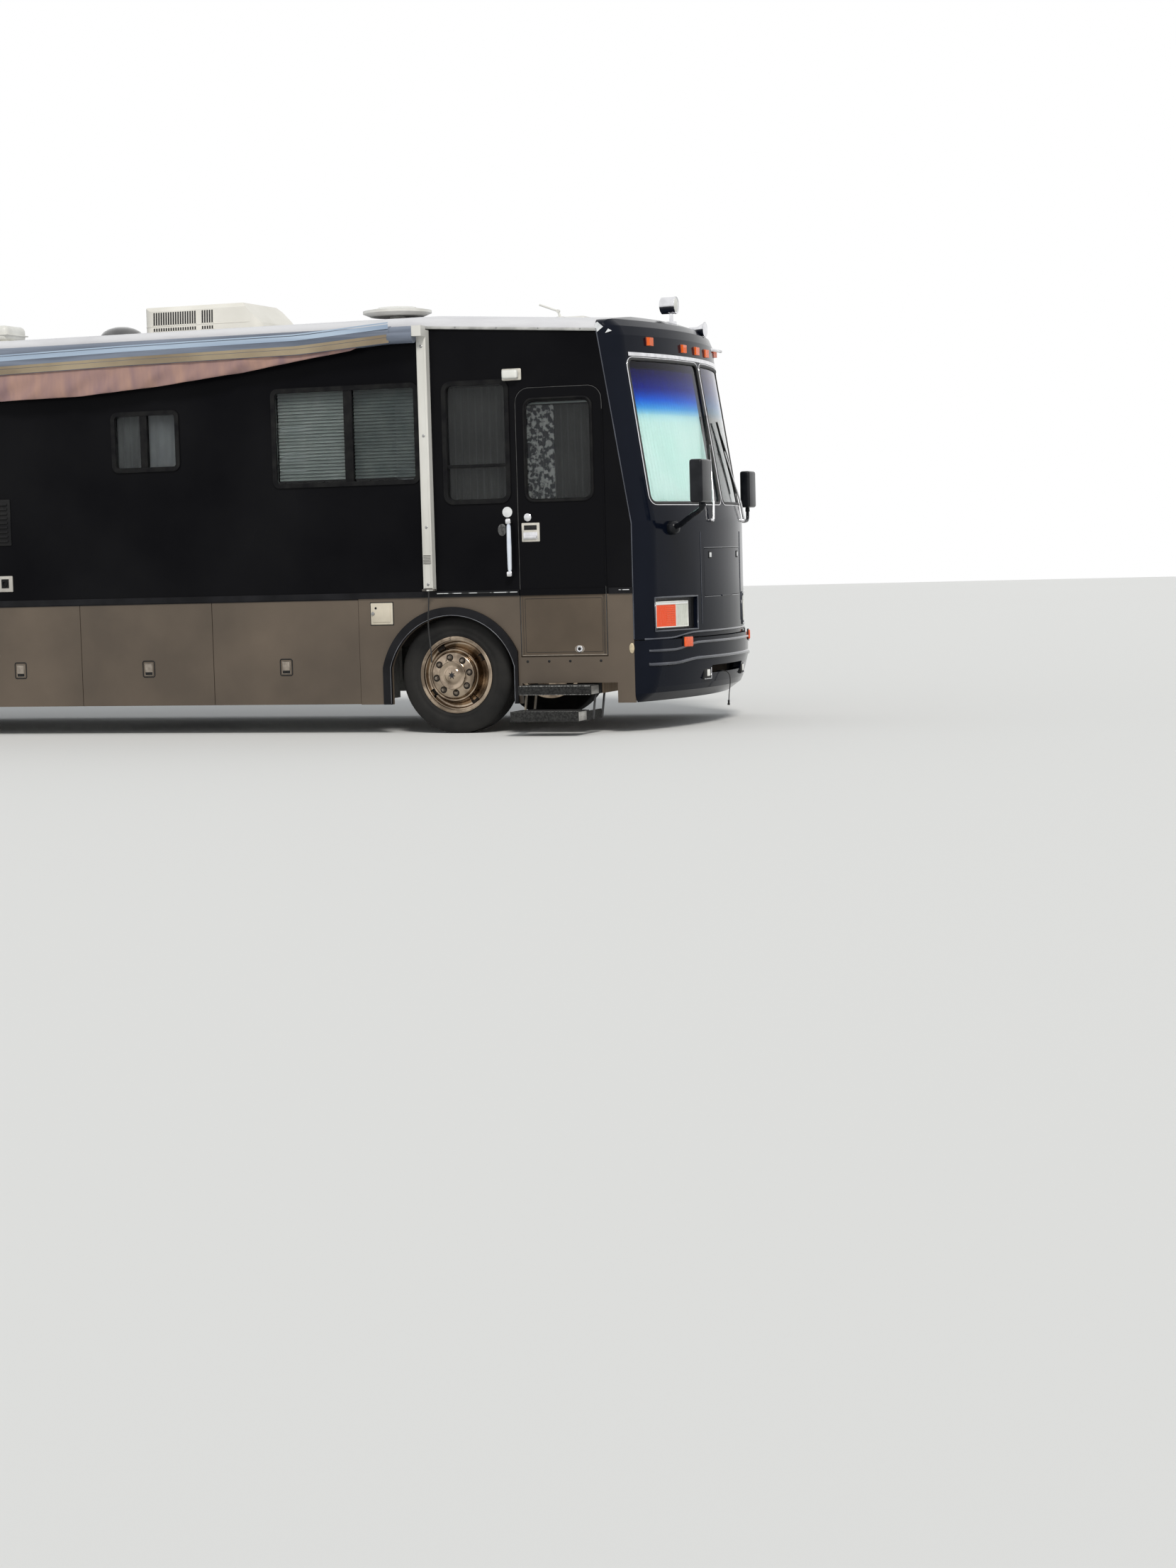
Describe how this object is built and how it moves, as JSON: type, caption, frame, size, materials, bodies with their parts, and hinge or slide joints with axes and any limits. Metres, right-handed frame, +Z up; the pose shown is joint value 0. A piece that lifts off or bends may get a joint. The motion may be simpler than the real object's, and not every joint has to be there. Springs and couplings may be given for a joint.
{
  "type": "motorhome",
  "caption": "Coach-style diesel motorhome with hinged bays, entry door and engine door, steering front wheels, dual rear wheels, a folding entry step and a side awning",
  "frame": {"origin": "on the ground, under the middle of the overall box", "axes": "+X forward, +Y to the coach's left, +Z up"},
  "size_m": [11.2, 3.21, 3.4925],
  "materials": {
    "air_unit_cream": "satin",
    "awning_cloth": "matte",
    "awning_metal": "satin",
    "bay_sheet": "matte",
    "black_paint": "gloss",
    "blind_cloth": "matte",
    "cap_paint": "gloss",
    "cast_iron": "rough",
    "chrome": "polished",
    "cord_black": "matte",
    "dark_glass": "clear",
    "dash_plastic": "matte",
    "engine_iron": "rough",
    "floor_board": "matte",
    "frame_steel": "matte",
    "lamp_lens": "gloss",
    "mirror_black": "gloss",
    "polished_aluminium": "polished",
    "screen_glass": "clear",
    "seat_cloth": "matte",
    "step_arms": "satin",
    "step_black": "rough",
    "tan_paint": "gloss",
    "tank_plastic": "matte",
    "trim_black": "satin",
    "tyre_rubber": "matte",
    "white_roof": "satin"
  },
  "bodies": {
    "coach": {"awning_arms": "awning_metal", "awning_fabric": "awning_cloth", "awning_roller": "awning_metal", "awning_strap": "cord_black", "bay_structure": "bay_sheet", "bumpers": "cap_paint", "chassis_frame": "frame_steel", "dashboard": "dash_plastic", "engine": "engine_iron", "floor_deck": "floor_board", "front_axle": "cast_iron", "front_cap": "cap_paint", "horn_and_spotlight": "chrome", "lamps": "lamp_lens", "mirrors": "mirror_black", "rear_axle": "cast_iron", "rear_cap": "black_paint", "rear_ladder": "polished_aluminium", "roof": "white_roof", "roof_air_units": "air_unit_cream", "roof_antennas": "white_roof", "roof_vents": "white_roof", "seats": "seat_cloth", "side_glass": "dark_glass", "side_mouldings": "trim_black", "skirts": "tan_paint", "sunshades": "blind_cloth", "tanks": "tank_plastic", "tow_cable": "cord_black", "wall_left": "black_paint", "wall_right": "black_paint", "window_frames": "trim_black", "windshield": "screen_glass", "wipers": "trim_black"},
    "entry_door": {"entry_door": "black_paint", "entry_door_glass": "dark_glass"},
    "engine_door": {"engine_door": "black_paint"},
    "front_hatch": {"front_hatch": "cap_paint"},
    "knuckle_left": {"knuckle_left": "cast_iron"},
    "knuckle_right": {"knuckle_right": "cast_iron"},
    "front_wheel_left": {"front_tyre_left": "tyre_rubber", "front_rim_left": "polished_aluminium"},
    "front_wheel_right": {"front_tyre_right": "tyre_rubber", "front_rim_right": "polished_aluminium"},
    "rear_wheels_left": {"rear_tyres_left": "tyre_rubber", "rear_rims_left": "polished_aluminium"},
    "rear_wheels_right": {"rear_tyres_right": "tyre_rubber", "rear_rims_right": "polished_aluminium"},
    "upper_step": {"upper_step": "step_black"},
    "step_links_outer": {"step_links_outer": "step_arms"},
    "step_links_inner": {"step_links_inner": "step_arms"},
    "lower_step": {"lower_step": "step_black"},
    "bay_door_right_1": {"bay_door_right_1": "tan_paint"},
    "bay_door_right_2": {"bay_door_right_2": "tan_paint"},
    "bay_door_right_3": {"bay_door_right_3": "tan_paint"},
    "bay_door_left_1": {"bay_door_left_1": "tan_paint"},
    "bay_door_left_2": {"bay_door_left_2": "tan_paint"},
    "bay_door_left_3": {"bay_door_left_3": "tan_paint"}
  },
  "joints": [
    {"name": "bay_door_right_1_hinge", "type": "hinge", "parent": "coach", "child": "bay_door_right_1", "pos_m": [-0.35, -1.223, 1.055], "axis": [-1, 0, 0], "range_deg": [0, 90]},
    {"name": "bay_door_right_2_hinge", "type": "hinge", "parent": "coach", "child": "bay_door_right_2", "pos_m": [0.8215, -1.223, 1.055], "axis": [-1, 0, 0], "range_deg": [0, 90]},
    {"name": "bay_door_right_3_hinge", "type": "hinge", "parent": "coach", "child": "bay_door_right_3", "pos_m": [2.0575, -1.223, 1.055], "axis": [-1, 0, 0], "range_deg": [0, 90]},
    {"name": "bay_door_left_1_hinge", "type": "hinge", "parent": "coach", "child": "bay_door_left_1", "pos_m": [-0.35, 1.223, 1.055], "axis": [1, 0, 0], "range_deg": [0, 90]},
    {"name": "bay_door_left_2_hinge", "type": "hinge", "parent": "coach", "child": "bay_door_left_2", "pos_m": [0.8215, 1.223, 1.055], "axis": [1, 0, 0], "range_deg": [0, 90]},
    {"name": "bay_door_left_3_hinge", "type": "hinge", "parent": "coach", "child": "bay_door_left_3", "pos_m": [2.0575, 1.223, 1.055], "axis": [1, 0, 0], "range_deg": [0, 90]},
    {"name": "entry_door_hinge", "type": "hinge", "parent": "coach", "child": "entry_door", "pos_m": [4.755, -1.2225, 1.6], "axis": [0, 0, 1], "range_deg": [0, 100]},
    {"name": "engine_door_hinge", "type": "hinge", "parent": "coach", "child": "engine_door", "pos_m": [-5.5025, 0, 0.9838], "axis": [0, 1, 0], "range_deg": [0, 85]},
    {"name": "front_hatch_hinge", "type": "hinge", "parent": "coach", "child": "front_hatch", "pos_m": [5.333, 0, 1.01], "axis": [0, 1, 0], "range_deg": [0, 100]},
    {"name": "steering_left", "type": "hinge", "parent": "coach", "child": "knuckle_left", "pos_m": [3.48, 0.87, 0.455], "axis": [0, 0, 1], "range_deg": [-35, 35]},
    {"name": "steering_right", "type": "hinge", "parent": "coach", "child": "knuckle_right", "pos_m": [3.48, -0.87, 0.455], "axis": [0, 0, 1], "range_deg": [-35, 35]},
    {"name": "front_wheel_left_spin", "type": "hinge", "parent": "knuckle_left", "child": "front_wheel_left", "pos_m": [3.48, 1.04, 0.455], "axis": [0, 1, 0], "continuous": true},
    {"name": "front_wheel_right_spin", "type": "hinge", "parent": "knuckle_right", "child": "front_wheel_right", "pos_m": [3.48, -1.04, 0.455], "axis": [0, 1, 0], "continuous": true},
    {"name": "rear_wheels_left_spin", "type": "hinge", "parent": "coach", "child": "rear_wheels_left", "pos_m": [-2.31, 0.85, 0.455], "axis": [0, 1, 0], "continuous": true},
    {"name": "rear_wheels_right_spin", "type": "hinge", "parent": "coach", "child": "rear_wheels_right", "pos_m": [-2.31, -0.85, 0.455], "axis": [0, 1, 0], "continuous": true},
    {"name": "step_slide", "type": "slide", "parent": "coach", "child": "upper_step", "axis": [0, 1, 0], "range_m": [0, 0.26]},
    {"name": "step_swing_outer", "type": "hinge", "parent": "upper_step", "child": "step_links_outer", "pos_m": [4.386, -1.222, 0.322], "axis": [1, 0, 0], "range_deg": [0, 80.1]},
    {"name": "step_swing_inner", "type": "hinge", "parent": "upper_step", "child": "step_links_inner", "pos_m": [4.386, -1.016, 0.322], "axis": [1, 0, 0], "range_deg": [0, 80.1]},
    {"name": "step_level", "type": "hinge", "parent": "step_links_outer", "child": "lower_step", "pos_m": [4.386, -1.29, 0.123], "axis": [1, 0, 0], "range_deg": [-80.1, 0]}
  ],
  "couplings": [
    {"joint": "steering_right", "follows": "steering_left", "ratio": 1},
    {"joint": "step_swing_outer", "follows": "step_slide", "rad_per_m": 5.37},
    {"joint": "step_swing_inner", "follows": "step_slide", "rad_per_m": 5.37},
    {"joint": "step_level", "follows": "step_slide", "rad_per_m": -5.37}
  ]
}
